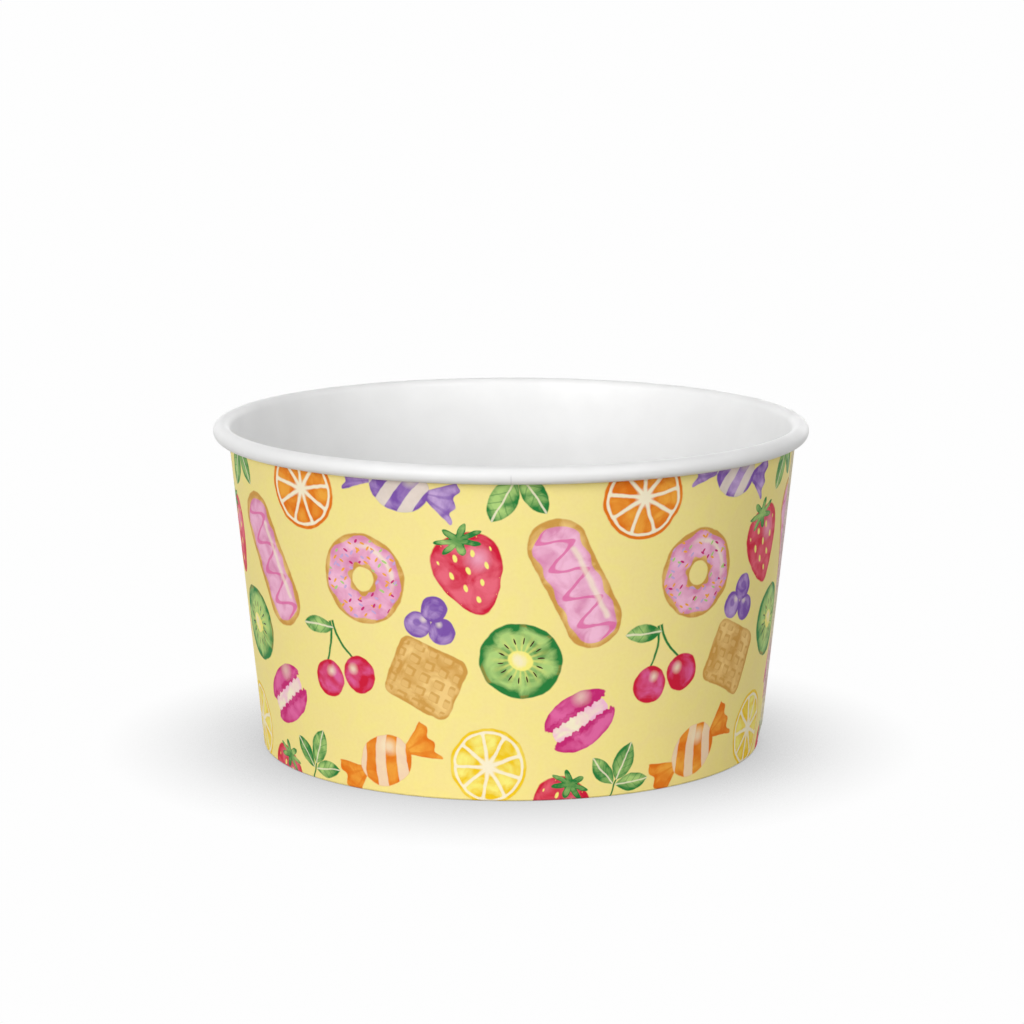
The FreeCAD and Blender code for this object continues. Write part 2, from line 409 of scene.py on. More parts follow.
class Wire:
    """A node's output that takes part in Python sums, each of which adds a Math or Vector Math node."""

    def __init__(self, graph, socket):
        self.graph = graph
        self.socket = socket

    def _join(self, operation, *operands):
        wires = [o for o in operands if isinstance(o, Wire)]
        tuples = [o for o in operands if isinstance(o, tuple)]
        if tuples or any(w.socket.type in ("VECTOR", "RGBA") for w in wires):
            wide = [o if isinstance(o, (Wire, tuple)) else (o, o, o) for o in operands]
            return self.graph.add("VectorMath", {"operation": operation}, dict(enumerate(wide)))
        return self.graph.add("Math", {"operation": operation}, dict(enumerate(operands)))

    def __add__(self, other):
        return self._join("ADD", self, other)

    def __radd__(self, other):
        return self._join("ADD", other, self)

    def __sub__(self, other):
        return self._join("SUBTRACT", self, other)

    def __rsub__(self, other):
        return self._join("SUBTRACT", other, self)

    def __mul__(self, other):
        return self._join("MULTIPLY", self, other)

    def __rmul__(self, other):
        return self._join("MULTIPLY", other, self)

    def __truediv__(self, other):
        return self._join("DIVIDE", self, other)

    def __abs__(self):
        return self._join("ABSOLUTE", self)

    def at_least(self, other):
        """The larger of the two."""
        return self._join("MAXIMUM", self, other)

    def wrapped(self, low, high):
        """Comes round again from low whenever it passes high."""
        return self._join("WRAP", self, high, low)

    def wave(self):
        """Sine of an angle."""
        return self._join("SINE", self)

    def rounded_with(self, other, radius):
        """The larger of the two, with the corner between them rounded."""
        return self._join("SMOOTH_MAX", self, other, radius)

    def length(self):
        """Length of a vector."""
        return self.graph.add("VectorMath", {"operation": "LENGTH"}, {0: self}, output="Value")

    def distance(self, point):
        """Distance of a vector's end from a point."""
        return self.graph.add("VectorMath", {"operation": "DISTANCE"}, {0: self, 1: point}, output="Value")

    def dot(self, direction):
        """How far a vector reaches in a direction."""
        inputs = {0: self, 1: direction}
        return self.graph.add("VectorMath", {"operation": "DOT_PRODUCT"}, inputs, output="Value")

    def turned(self, degrees, size=1.0):
        """How far a vector reaches along and across a direction, in units of a size."""
        cosine = math.cos(math.radians(degrees)) / size
        sine = math.sin(math.radians(degrees)) / size
        return self.dot((cosine, sine, 0.0)), self.dot((-sine, cosine, 0.0))

    def fade(self, start, end, low=0.0, high=1.0):
        """Goes from low to high as this value goes from start to end."""
        inputs = {"Value": self, "From Min": start, "From Max": end, "To Min": low, "To Max": high}
        return self.graph.add("MapRange", inputs=inputs)


class Graph:
    """The node tree of a material or a world."""

    def __init__(self, owner):
        owner.use_nodes = True
        self.tree = owner.node_tree
        self.tree.nodes.clear()

    def node(self, kind, settings=None, inputs=None):
        """Adds a node. Its settings come first, because they decide which sockets it has."""
        node = self.tree.nodes.new("ShaderNode" + kind)
        for name, value in (settings or {}).items():
            if name == "stops":
                self._set_stops(node.color_ramp, value)
            else:
                setattr(node, name, value)
        for key, value in (inputs or {}).items():
            if isinstance(value, Wire):
                self.tree.links.new(value.socket, node.inputs[key])
            else:
                node.inputs[key].default_value = value
        return node

    def add(self, kind, settings=None, inputs=None, output=0):
        """Adds a node and returns one of its outputs."""
        return Wire(self, self.node(kind, settings, inputs).outputs[output])

    def _set_stops(self, ramp, stops):
        ramp.interpolation = "CONSTANT"
        while len(ramp.elements) < len(stops):
            ramp.elements.new(1.0)
        for element, (position, colour) in zip(ramp.elements, stops):
            element.position = position
            element.color = colour

    def point(self, x, y):
        """A vector of two values."""
        return self.add("CombineXYZ", inputs={0: x, 1: y})

    def angle(self, x, y):
        """Angle of a direction round the middle, from X."""
        return self.add("Math", {"operation": "ARCTAN2"}, {0: y, 1: x})

    def mix(self, share, first, second, blend="MIX"):
        """A colour between two colours."""
        settings = {"data_type": "RGBA", "blend_type": blend}
        return self.add("Mix", settings, {"Factor": share, 6: first, 7: second}, output=2)

    def noise(self, place, scale, detail=2.0, output="Fac", **more):
        """Cloudy noise with this many clouds to each unit of the place."""
        inputs = {"Vector": place, "Scale": scale, "Detail": detail, **more}
        return self.add("TexNoise", inputs=inputs, output=output)

    def surface(self, settings):
        """Ends a material in a Principled shader with these sockets."""
        shader = self.add("BsdfPrincipled", inputs=settings)
        self.node("OutputMaterial", inputs={"Surface": shader})


# How the print is painted, in millimetres on the flat blank
TILE = 54.58
EDGE_SOFTNESS = 0.09
RIM_WIDTH = 0.9
FOOT_BLEED = 2.6
BLEED_SOFTNESS = 0.1
WOBBLE = 0.7

# How many clouds, specks or sprinkles there are to each millimetre of it
WOBBLES = 0.33
WASHES = 0.26
GRAINS = 1.7
SPRINKLES_ALONG = 0.36
SPRINKLES_ACROSS = 0.85

# How much of the ground is washed with lemon, and how the ink's grain darkens the whole print
GROUND_WASH = 0.25
GRAIN_RANGE = (0.35, 0.75)
GRAIN_SHARE = 0.5
GRAIN_TINT = (0.985, 0.975, 0.955)


class Print:
    """The printed colour so far. Motifs are painted on it one after another."""

    def __init__(self, graph, inks):
        self.graph = graph
        self.inks = inks
        blank = graph.add("Attribute", {"attribute_name": "blank"}, output="Vector")
        flat = blank * (1 / MM)
        drift = graph.noise(flat, WOBBLES, output="Color")
        self.place = flat + (drift - 0.5) * (WOBBLE, WOBBLE, 0.0)
        cloud = graph.noise(flat, WASHES, detail=4.0, Distortion=0.8)
        self.wash = cloud.fade(0.37, 0.65)
        self.grain = graph.noise(flat, GRAINS, detail=3.0)
        self.colour = graph.mix(self.wash * GROUND_WASH, linear(inks.ground), linear(inks.lemon_pale))
        self.sprinkles = [self._strokes(degrees) for degrees in (25.0, -50.0)]

    def _strokes(self, degrees):
        """Scattered short strokes in one direction: how far the nearest is, and its colour."""
        along, across = self.place.turned(degrees)
        cell = self.graph.point(along * SPRINKLES_ALONG, across * SPRINKLES_ACROSS)
        inputs = {"Vector": cell, "Scale": 1.0, "Randomness": 0.8}
        cells = self.graph.node("TexVoronoi", {"voronoi_dimensions": "2D"}, inputs)
        chosen = [self.inks.rose_deep, self.inks.orange_pale, self.inks.violet_pale, self.inks.green_pale]
        stops = [(0.25 * i, linear(colour)) for i, colour in enumerate(chosen)]
        tones = {0: Wire(self.graph, cells.outputs["Color"])}
        colour = self.graph.add("ValToRGB", {"stops": stops}, tones)
        return Wire(self.graph, cells.outputs["Distance"]), colour

    def lay(self, mask, colour):
        """Covers the print with a colour where the mask is 1."""
        self.colour = self.graph.mix(mask, self.colour, colour)

    def stain(self, mask, colour):
        """Multiplies the print by a colour where the mask is 1, as a thin wash does."""
        self.colour = self.graph.mix(mask, self.colour, colour, blend="MULTIPLY")


class Motif:
    """One motif of the print: its own coordinates in millimetres, and ways to paint in them."""

    def __init__(self, canvas, across, up, turn, size):
        self.canvas = canvas
        self.graph = canvas.graph
        self.inks = canvas.inks
        # A motif comes round again along the blank but not up it, where it would be far past both edges
        half, far = TILE / 2, 10 * TILE
        offset = (canvas.place - (across, up, 0.0)).wrapped((-half, -far, -far), (half, far, far))
        self.x, self.y = offset.turned(turn, size)
        self.point = self.graph.point(self.x, self.y)

    def angle(self):
        """Angle round the motif's centre."""
        return self.graph.angle(self.x, self.y)

    def disc(self, x, y, radius):
        """Distance outside a disc; negative inside, as for the other shapes."""
        return self.point.distance((x, y, 0.0)) - radius

    def oval(self, x, y, half_width, half_height):
        """Distance outside an oval."""
        small = min(half_width, half_height)
        scaled = (self.point - (x, y, 0.0)) * (small / half_width, small / half_height, 0.0)
        return scaled.length() - small

    def bar(self, point, half_width, half_height, corner):
        """Distance of a point outside a bar with round corners."""
        beyond = abs(point) - (half_width - corner, half_height - corner, 0.0)
        return beyond.at_least(0.0).length() - corner

    def fill(self, edge, pale, deep, lean=0.0, rim=0.5):
        """Paints a shape with a cloudy wash that gathers at its edge, and returns its mask.

        Lean is how deep the wash is all over, and rim how much deeper it gets at the edge."""
        mask = edge.fade(EDGE_SOFTNESS, -EDGE_SOFTNESS)
        tone = edge.fade(-RIM_WIDTH, 0.0, lean, lean + rim) + self.canvas.wash
        self.canvas.lay(mask, self.graph.mix(tone, linear(pale), linear(deep)))
        return mask

    def touch(self, mask, colour, share=1.0):
        """Lays a flat colour over part of the motif, in full or as a share."""
        self.canvas.lay(mask * share if share < 1.0 else mask, linear(colour))

    def leaf(self, along, across, half_length, half_width):
        """Paints a leaf with its veins, from coordinates along it and across it."""
        radius = (half_length**2 + half_width**2) / (2 * half_width)
        side = abs(across)
        blade = self.graph.point(along, side + (radius - half_width)).length() - radius
        mask = self.fill(blade, self.inks.green_pale, self.inks.green_deep, lean=-0.1)
        ribs = abs(((along - side * 0.9) / 1.7).wrapped(-0.5, 0.5)).fade(0.11, 0.05)
        self.touch(ribs * mask, self.inks.green_deep, 0.45)
        self.touch(side.fade(0.22, 0.1) * mask, self.inks.cream, 0.75)


def strawberry(motif):
    """A strawberry with its seeds and leaves, 13 mm high."""
    inks = motif.inks
    body = motif.graph.point(motif.x / (motif.y * 0.055 + 1.0), motif.y * 0.8 + 0.5).length() - 5.3
    flesh = motif.fill(body, inks.red_pale, inks.red_deep, lean=-0.1, rim=0.7)
    motif.touch(motif.disc(-1.9, 1.3, 0.0).fade(2.4, 0.3), inks.pink_pale, 0.6)
    steps = motif.graph.point(motif.point.dot((0.36, 0.21, 0.0)), motif.point.dot((0.36, -0.21, 0.0)))
    seeds = steps.wrapped((-0.5, -0.5, -0.5), (0.5, 0.5, 0.5)).length()
    smaller = body.fade(-1.5, -0.4, 0.0, 0.16)
    motif.touch((seeds + smaller).fade(0.20, 0.14) * flesh, inks.lemon_pale)
    crown_y = (motif.y - 4.9) * 1.5
    seven_tips = (motif.graph.angle(motif.x, crown_y) * 7.0).wave() * 1.1
    crown = motif.graph.point(motif.x, crown_y).length() - seven_tips - 2.7
    motif.fill(crown, inks.green_pale, inks.green_deep, lean=0.1)


def citrus(motif, pale, deep):
    """A slice across an orange or a lemon, 13 mm wide."""
    radius = motif.point.length()
    motif.fill(radius - 6.5, pale, deep, lean=0.3)
    motif.touch(radius.fade(6.05, 5.9), motif.inks.cream)
    spokes = abs((motif.angle() * 4.5).wave()) * radius * (1 / 4.5)
    wedges = (radius - 5.55).rounded_with(0.27 - spokes, 0.6)
    motif.fill(wedges, pale, deep, lean=-0.15, rim=0.45)


def doughnut(motif):
    """A ring doughnut with pink icing and sprinkles, 14 mm wide."""
    inks = motif.inks
    radius = motif.point.length()
    ring = abs(radius - 4.5)
    motif.fill(ring - 2.6, inks.tan_pale, inks.tan_deep, lean=0.1, rim=0.7)
    icing = ring + (motif.angle() * 7.0).wave() * 0.25 - 2.0
    iced = motif.fill(icing, inks.pink_pale, inks.pink_deep, lean=-0.1, rim=0.55)
    glint = abs(radius - 5.1).fade(0.55, 0.15) * (motif.y - motif.x).fade(2.0, 6.5)
    motif.touch(glint, inks.cream, 0.7)
    for near, colour in motif.canvas.sprinkles:
        motif.canvas.lay(near.fade(0.17, 0.13) * iced, colour)


def macaron(motif, pale, deep):
    """A filled almond biscuit seen from the side, with the ruffled feet of its shells, 13 mm wide."""
    inks = motif.inks
    motif.fill(motif.bar(motif.point, 5.2, 1.5, 1.2), inks.cream, inks.pink_pale, lean=-0.2)
    from_middle = abs(motif.y)
    place = motif.graph.point(motif.x, from_middle * 1.6 - 1.2)
    dome = (place.length() - 6.3).rounded_with(1.5 - from_middle, 0.9)
    shell = motif.fill(dome, pale, deep, lean=-0.1)
    foot = from_middle - 1.55 + (motif.x * 4.0).wave() * 0.16 + (motif.x * 9.0).wave() * 0.08
    foot = abs(foot).rounded_with(abs(motif.x) - 5.3, 0.5) - 0.42
    motif.fill(foot, pale, deep, lean=0.15, rim=0.4)
    motif.touch(motif.disc(-2.2, 3.4, 0.0).fade(2.1, 0.2) * shell, inks.cream, 0.55)


def sprig(motif):
    """Three leaves of mint on a stalk, 14 mm high."""
    inks = motif.inks
    side = abs(motif.x)
    stalk = (side - 0.2).at_least(abs(motif.y + 2.2) - 4.2)
    motif.fill(stalk, inks.green_deep, inks.green_deep)
    along, across = motif.graph.point(side, motif.y).turned(28.0)
    motif.leaf(along - 3.4, across + 1.6, 3.9, 1.9)
    motif.leaf(motif.y - 3.6, motif.x, 4.2, 2.3)


def cherries(motif):
    """Two cherries and a leaf, 13 mm high."""
    inks = motif.inks
    side = abs(motif.x)
    drop = (6.4 - motif.y) / 6.9
    stalk = abs(side - drop * drop * 2.9 - 0.3) - 0.24
    stalk = stalk.at_least(abs(motif.y - 3.0) - 3.5)
    motif.fill(stalk, inks.green_pale, inks.green_deep, lean=0.5)
    place = motif.graph.point(side, motif.y)
    fruit = place.distance((3.35, -3.0, 0.0)) - 3.15
    motif.fill(fruit, inks.rose_pale, inks.red_deep, lean=0.05, rim=0.6)
    motif.touch(place.distance((2.5, -1.9, 0.0)).fade(1.2, 0.2), inks.cream, 0.75)
    along, across = motif.point.turned(12.0)
    motif.leaf(along - 4.3, across - 5.2, 3.4, 1.5)


def wrapped_sweet(motif, pale, deep):
    """A round sweet in a twisted wrapper, 19 mm long."""
    inks = motif.inks
    side = abs(motif.x)
    reach = side - 4.2
    flare = abs(motif.y) - reach * 0.62 - 0.5
    end = side - 9.2 + (motif.y * 2.4).wave() * 0.35
    paper = motif.fill(flare.rounded_with(end, 0.4).at_least(0.0 - reach), pale, deep, lean=-0.15)
    pleats = (motif.y / (reach * 0.62 + 0.6) * 8.0).wave().fade(0.45, 0.95)
    motif.touch(pleats * paper, deep, 0.5)
    ball = motif.fill(motif.oval(0.0, 0.0, 5.0, 4.0), pale, deep, rim=0.55)
    bands = (motif.point.dot((1.45, 0.75, 0.0)) + motif.y * motif.y * 0.05).wave().fade(-0.1, 0.15)
    motif.touch(bands * ball, inks.cream, 0.72)
    motif.touch(motif.disc(-1.7, 1.7, 0.0).fade(1.7, 0.3), inks.cream, 0.7)


def waffle(motif):
    """A square waffle with rounded corners, 13 mm wide."""
    inks = motif.inks
    crust = motif.bar(motif.point, 6.3, 5.6, 1.7)
    motif.fill(crust, inks.tan_pale, inks.tan_deep, lean=-0.05, rim=0.75)
    inside = motif.bar(motif.point, 5.6, 4.9, 1.2).fade(0.1, -0.1)
    cell = (motif.point * (1 / 2.75, 1 / 2.4, 0.0)).wrapped((-0.5, -0.5, -0.5), (0.5, 0.5, 0.5))
    pocket = motif.bar(cell, 0.33, 0.33, 0.12)
    motif.touch(pocket.fade(0.03, -0.03) * inside, inks.tan_deep, 0.75)
    lit = motif.bar(cell + (-0.07, 0.08, 0.0), 0.24, 0.22, 0.1)
    motif.touch(lit.fade(0.04, -0.04) * inside, inks.tan_pale, 0.55)


def iced_finger(motif):
    """A long bun with pink icing and a trail of darker icing, 22 mm long."""
    inks = motif.inks
    motif.fill(motif.bar(motif.point, 11.0, 4.5, 4.4), inks.tan_pale, inks.tan_deep, lean=0.1, rim=0.7)
    ripple = (motif.x * 1.5).wave() * 0.22
    icing = motif.bar(motif.point, 10.0, 3.6, 3.4) + ripple
    iced = motif.fill(icing, inks.pink_pale, inks.pink_deep, lean=-0.15, rim=0.5)
    swing = (motif.x * 1.25).wave() * 2.3
    motif.touch(abs(motif.y - swing).fade(0.75, 0.45) * iced, inks.rose_pale, 0.8)
    shine = motif.bar(motif.point - (-1.0, 2.1, 0.0), 6.5, 0.4, 0.38)
    motif.touch(shine.fade(0.25, -0.2), inks.cream, 0.65)


def kiwi(motif):
    """A slice across a kiwi fruit, 13 mm wide."""
    inks = motif.inks
    motif.fill(motif.oval(0.0, 0.0, 6.5, 5.9), inks.tan_deep, inks.green_deep, lean=0.2)
    inner = motif.oval(0.0, 0.0, 6.0, 5.4)
    motif.fill(inner, inks.green_pale, inks.green_deep, lean=-0.2, rim=0.6)
    angle = motif.angle()
    rays = (angle * 16.0).wave().fade(-0.4, 1.0) * inner.fade(-0.8, -3.2)
    motif.touch(rays, inks.lemon_pale, 0.5)
    motif.fill(motif.oval(0.0, 0.0, 2.0, 1.5), inks.cream, inks.lemon_pale, rim=0.9)
    turn = (angle * (14 / FULL_TURN)).wrapped(-0.5, 0.5)
    radius = motif.point.length()
    seeds = motif.graph.point(turn * radius * 2.1, radius - 3.15).length()
    motif.touch(seeds.fade(0.62, 0.48), inks.dark)


def blueberries(motif):
    """Three blueberries, 10 mm across."""
    inks = motif.inks
    place = motif.graph.point(abs(motif.x), motif.y)
    for x, y in ((2.5, -1.5), (0.0, 2.4)):
        fruit = place.distance((x, y, 0.0)) - 2.65
        motif.fill(fruit, inks.violet_pale, inks.violet_deep, lean=0.1, rim=0.6)
        motif.touch(place.distance((x + 0.2, y + 0.4, 0.0)).fade(0.95, 0.6), inks.violet_deep, 0.7)
        motif.touch(place.distance((x - 0.9, y + 1.3, 0.0)).fade(0.9, 0.2), inks.cream, 0.6)


def print_motifs(canvas):
    """Paints one tile of the design. A row has a motif, its inks, its place on the tile, turn and size."""
    inks = canvas.inks
    layout = [
        (iced_finger, (), 8.3, 34.6, 63.0, 1.0),
        (strawberry, (), 24.4, 36.8, -18.0, 1.0),
        (doughnut, (), 41.6, 34.4, 0.0, 1.0),
        (citrus, (inks.orange_pale, inks.orange_deep), 52.6, 47.4, 10.0, 1.0),
        (sprig, (), 17.6, 50.6, -150.0, 0.9),
        (wrapped_sweet, (inks.violet_pale, inks.violet_deep), 34.8, 49.4, 14.0, 0.95),
        (kiwi, (), 16.6, 22.6, 20.0, 1.0),
        (waffle, (), 31.8, 19.4, 24.0, 0.92),
        (cherries, (), 47.2, 20.9, -12.0, 0.95),
        (macaron, (inks.rose_pale, inks.rose_deep), 7.0, 12.8, -32.0, 0.95),
        (citrus, (inks.lemon_pale, inks.lemon_deep), 21.8, 5.6, 0.0, 0.95),
        (wrapped_sweet, (inks.orange_pale, inks.orange_deep), 39.4, 5.4, -27.0, 1.0),
        (strawberry, (), 10.2, -1.6, 24.0, 0.9),
        (blueberries, (), 30.4, 28.6, 15.0, 0.8),
        (sprig, (), 0.2, 3.0, 22.0, 0.76),
    ]
    for paint, colours, across, up, turn, size in layout:
        paint(Motif(canvas, across, up, turn, size), *colours)


# How many fibres, swells, pale patches or plies there are to each metre of the board
FIBRES = 5200.0
SWELLS = 260.0
PATCHES = 140.0
PLIES = 2600.0

# Fibres are longer up the board, and rise this much beside the swells
FIBRE_SQUEEZE = (1.0, 1.0, 0.35)
FIBRE_RISE = 0.35

# The stretch of a noise's values over which it changes a colour, and a roughness
TINT_RANGE = (0.35, 0.65)
ROUGHNESS_RANGE = (0.3, 0.7)

# How far the board's faces and its cut edges rise and fall, in metres
FACE_DEPTH = 6e-6
EDGE_DEPTH = 2e-5

# How rough each surface is, from its smoother to its rougher parts, and how much the faces reflect
PRINTED = (0.50, 0.58)
COATED = (0.42, 0.50)
PLAIN = (0.60, 0.68)
CUT = (0.82, 0.92)
PRINTED_SPECULAR = 0.1
COATED_SPECULAR = 0.4

# How dark the darker parts of the board are beside its colour
FACE_SHADE = 0.985
EDGE_SHADE = 0.93

# The painted shade of a hairline crease in the bead: its half width, where it starts and ends round the
# bead's middle, its grey, and how much of that grey is laid
CREASE_HALF_WIDTH = (0.13 * MM, 0.03 * MM)
CREASE_OUT = (-0.025 * MM, 0.175 * MM)
CREASE_UP = (0.375 * MM, -0.125 * MM)
CREASE_SHADE_COLOUR = (0.70, 0.70, 0.72)
CREASE_SHADE_SHARE = 0.4


def board_bump(graph, place, depth):
    """Normal of slightly uneven board with its fibres, which rise and fall by this many metres."""
    fibres = graph.noise(place * FIBRE_SQUEEZE, FIBRES, detail=1.0)
    swell = graph.noise(place, SWELLS, detail=1.0)
    inputs = {"Strength": 1.0, "Distance": depth, "Height": fibres * FIBRE_RISE + swell}
    return graph.add("Bump", inputs=inputs)


def bead_crease_shade(graph, place, sizes):
    """1 on the hairline crease across the lower half of the bead, in front, where the crease's shade is
    painted as a grey line.
    """
    middle_radius = (sizes.rim - sizes.bead) / 2
    middle_height = sizes.height - sizes.bead / 2
    across = abs(place.dot((1.0, 0.0, 0.0)))
    out = place.dot((0.0, -1.0, 0.0)) - middle_radius
    up = place.dot((0.0, 0.0, 1.0)) - middle_height
    return across.fade(*CREASE_HALF_WIDTH) * out.fade(*CREASE_OUT) * up.fade(*CREASE_UP)


def printed_face(inks):
    """The printed side of the blank: white board where the ink stops on the hem, and the design above it."""
    material = bpy.data.materials.new("printed_board")
    graph = Graph(material)
    canvas = Print(graph, inks)
    print_motifs(canvas)
    canvas.stain(canvas.grain.fade(*GRAIN_RANGE) * GRAIN_SHARE, linear(GRAIN_TINT))
    up = canvas.place.dot((0.0, 1.0, 0.0))
    inked = up.fade(-FOOT_BLEED - BLEED_SOFTNESS, -FOOT_BLEED + BLEED_SOFTNESS)
    place = graph.add("TexCoord", output="Object")
    graph.surface({
        "Base Color": graph.mix(inked, linear(inks.board), canvas.colour),
        "Specular IOR Level": PRINTED_SPECULAR,
        "Roughness": canvas.grain.fade(*ROUGHNESS_RANGE, *PRINTED),
        "Normal": board_bump(graph, place, FACE_DEPTH),
    })
    return material


def white_face(name, inks, roughness, shaded_crease_sizes=None):
    """White board, satin and very slightly uneven. The cup's sizes are given where the bead gets a painted
    shade of a crease, a grey hairline.
    """
    material = bpy.data.materials.new(name)
    graph = Graph(material)
    place = graph.add("TexCoord", output="Object")
    patches = graph.noise(place, PATCHES, detail=3.0)
    shaded = tuple(FACE_SHADE * c for c in inks.board)
    colour = graph.mix(patches.fade(*TINT_RANGE), linear(inks.board), linear(shaded))
    if shaded_crease_sizes:
        # Painted shade: a grey hairline on the front of the bead stands for the shadow inside a crease
        crease = bead_crease_shade(graph, place, shaded_crease_sizes)
        colour = graph.mix(crease * CREASE_SHADE_SHARE, colour, linear(CREASE_SHADE_COLOUR))
    graph.surface({
        "Base Color": colour,
        "Specular IOR Level": COATED_SPECULAR,
        "Roughness": patches.fade(*ROUGHNESS_RANGE, *roughness),
        "Normal": board_bump(graph, place, FACE_DEPTH),
    })
    return material


def raw_edge(inks):
    """Cut edge of the board, a little darker and rougher, with the plies showing as fine streaks."""
    material = bpy.data.materials.new("raw_edge")
    graph = Graph(material)
    place = graph.add("TexCoord", output="Object")
    plies = graph.noise(place, PLIES, detail=3.0)
    shaded = tuple(EDGE_SHADE * c for c in inks.raw)
    graph.surface({
        "Base Color": graph.mix(plies.fade(*TINT_RANGE), linear(inks.raw), linear(shaded)),
        "Roughness": plies.fade(*ROUGHNESS_RANGE, *CUT),
        "Normal": board_bump(graph, place, EDGE_DEPTH),
    })
    return material


class DESSERTCUP_OT_sidewall(bpy.types.Operator):
    """Makes the printed wall: a blank wrapped to a cone, lapped, curled at the rim and hemmed at the foot"""

    bl_idname = "dessert_cup.sidewall"
    bl_label = "Make sidewall"

    def execute(self, context):
        shape = CupShape(context.scene.dessert_cup_sizes)
        inks = context.scene.dessert_cup_inks
        stations, foot = wall_section(shape)
        up = stations.along - foot
        count = WALL_COLUMNS + round(WALL_COLUMNS * shape.lap_angle / FULL_TURN)
        angles = np.linspace(0.0, FULL_TURN + shape.lap_angle, count)
        printed, white = lap_layers(shape, up, angles)
        around = shape.inner_flap - angles
        right = carried_round(stations, printed - knurls(shape, up, count), around)
        left = carried_round(stations, white, around)
        mesh = sheet_mesh("sidewall_finish", right, left, closed=False)

        # Each point's place on the flat blank, which the print is laid out on
        blank = np.zeros((2, *right.shape))
        blank[..., 0] = angles * shape.middle_radius
        blank[..., 1] = up
        mesh.attributes.new("blank", "FLOAT_VECTOR", "POINT").data.foreach_set("vector", blank.ravel())

        coated = white_face("coated_board", inks, COATED, shaded_crease_sizes=shape.sizes)
        piece = finished_piece("sidewall_finish", mesh, [printed_face(inks), coated, raw_edge(inks)])
        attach(piece, "root")
        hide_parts("sidewall")
        return {"FINISHED"}


class DESSERTCUP_OT_base(bpy.types.Operator):
    """Makes the round base, with its rim turned down inside the foot"""

    bl_idname = "dessert_cup.base"
    bl_label = "Make base"

    def execute(self, context):
        shape = CupShape(context.scene.dessert_cup_sizes)
        inks = context.scene.dessert_cup_inks
        stations = base_section(shape)
        angles = np.linspace(0.0, FULL_TURN, BASE_COLUMNS, endpoint=False)
        under = carried_round(stations, 0.0, angles)
        upper = carried_round(stations, -shape.sizes.board, angles)
        mesh = sheet_mesh("base_disc_finish", under, upper, closed=True)
        plain = white_face("plain_board", inks, PLAIN)
        coated = white_face("coated_floor", inks, COATED)
        piece = finished_piece("base_disc_finish", mesh, [plain, coated, raw_edge(inks)])
        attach(piece, "root")
        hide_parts("base_disc")
        return {"FINISHED"}


# The white that the camera sees behind and under the cup
BACKDROP = 0.990
WHITE = (1.0, 1.0, 1.0, 1.0)

# The floor: its size, how far it reaches in under the foot, its paint, and its shade close to the cup
FLOOR_RADIUS = 4.0
FLOOR_SIDES = 96
FLOOR_TUCK = 0.4 * MM
FLOOR_PAINT = (0.6, 0.6, 0.6, 1.0)
FLOOR_SHADE = 0.39
FLOOR_SHADE_REACH = 0.027

# The painted contact shadow where the floor meets the foot: how open it is there, and how dark at left and
# right
CONTACT_OPEN = (0.72, 0.55)
CONTACT_SHADE = (0.068, 0.118)
CONTACT_SIDE = 0.5

# The sky: how much brighter its left side is, how it dims at both sides, and its light from below
SKY_TILT = 0.22
SKY_SIDES_FROM = 0.35
SKY_SIDES = 0.5
BELOW_FROM = (-0.02, -0.2)
BELOW = 0.4

# Each lamp's spread, azimuth from straight in front, positive to the right, and elevation, in degrees
LAMPS = {
    "key": (40.0, -36.0, 13.0),
    "fill": (50.0, 44.0, 20.0),
    "back_right": (40.0, 160.0, 4.0),
    "back_left": (40.0, -165.0, 4.0),
}


def seen_or_mirrored(graph):
    """1 for the rays that the camera sends out and for those that gloss, metal or glass sends on."""
    names = ("Is Camera Ray", "Is Glossy Ray", "Is Transmission Ray")
    camera, glossy, through = [graph.add("LightPath", output=name) for name in names]
    return camera.at_least(glossy).at_least(through)


def floor_mesh(hole_radius):
    """A wide flat ring, open in the middle."""
    turns = [FULL_TURN * i / FLOOR_SIDES for i in range(FLOOR_SIDES)]
    radii = (hole_radius, FLOOR_RADIUS)
    points = [(radius * math.cos(turn), radius * math.sin(turn), 0.0) for radius in radii for turn in turns]
    following = [(i + 1) % FLOOR_SIDES for i in range(FLOOR_SIDES)]
    faces = [(i, i + FLOOR_SIDES, j + FLOOR_SIDES, j) for i, j in enumerate(following)]
    mesh = bpy.data.meshes.new("studio_floor")
    mesh.from_pydata(points, [], faces)
    return mesh


def floor_material(hole_radius):
    """Gives light back as grey paint, and is white to the camera, shaded where the cup stands close by and a
    little more at its sides. It is clear from below, so that the underside can be looked at."""
    material = bpy.data.materials.new("studio_floor")
    graph = Graph(material)
    reach = {"Distance": FLOOR_SHADE_REACH}
    open_share = graph.add("AmbientOcclusion", {"samples": 4}, reach, output="AO")
    across = graph.add("TexCoord", output="Object").dot((1.0, 0.0, 0.0))
    # Painted shadow: the floor's white is darkened where ambient occlusion finds the cup close by, and more
    # in a strip at the cup's left and right
    contact_shadow = open_share.fade(*CONTACT_OPEN) * across.fade(-hole_radius, hole_radius, *CONTACT_SHADE)
    beside = abs(across).fade(CONTACT_SIDE * hole_radius, hole_radius)
    white = open_share.fade(0.0, 1.0, FLOOR_SHADE * BACKDROP, BACKDROP) - contact_shadow * beside
    glow = graph.add("Emission", inputs={"Color": WHITE, "Strength": white})
    paint = graph.add("BsdfDiffuse", inputs={"Color": FLOOR_PAINT})
    above = graph.add("MixShader", inputs={0: seen_or_mirrored(graph), 1: paint, 2: glow})
    below = graph.add("NewGeometry", output="Backfacing")
    clear = graph.add("BsdfTransparent")
    surface = graph.add("MixShader", inputs={0: below, 1: above, 2: clear})
    graph.node("OutputMaterial", inputs={"Surface": surface})
    return material


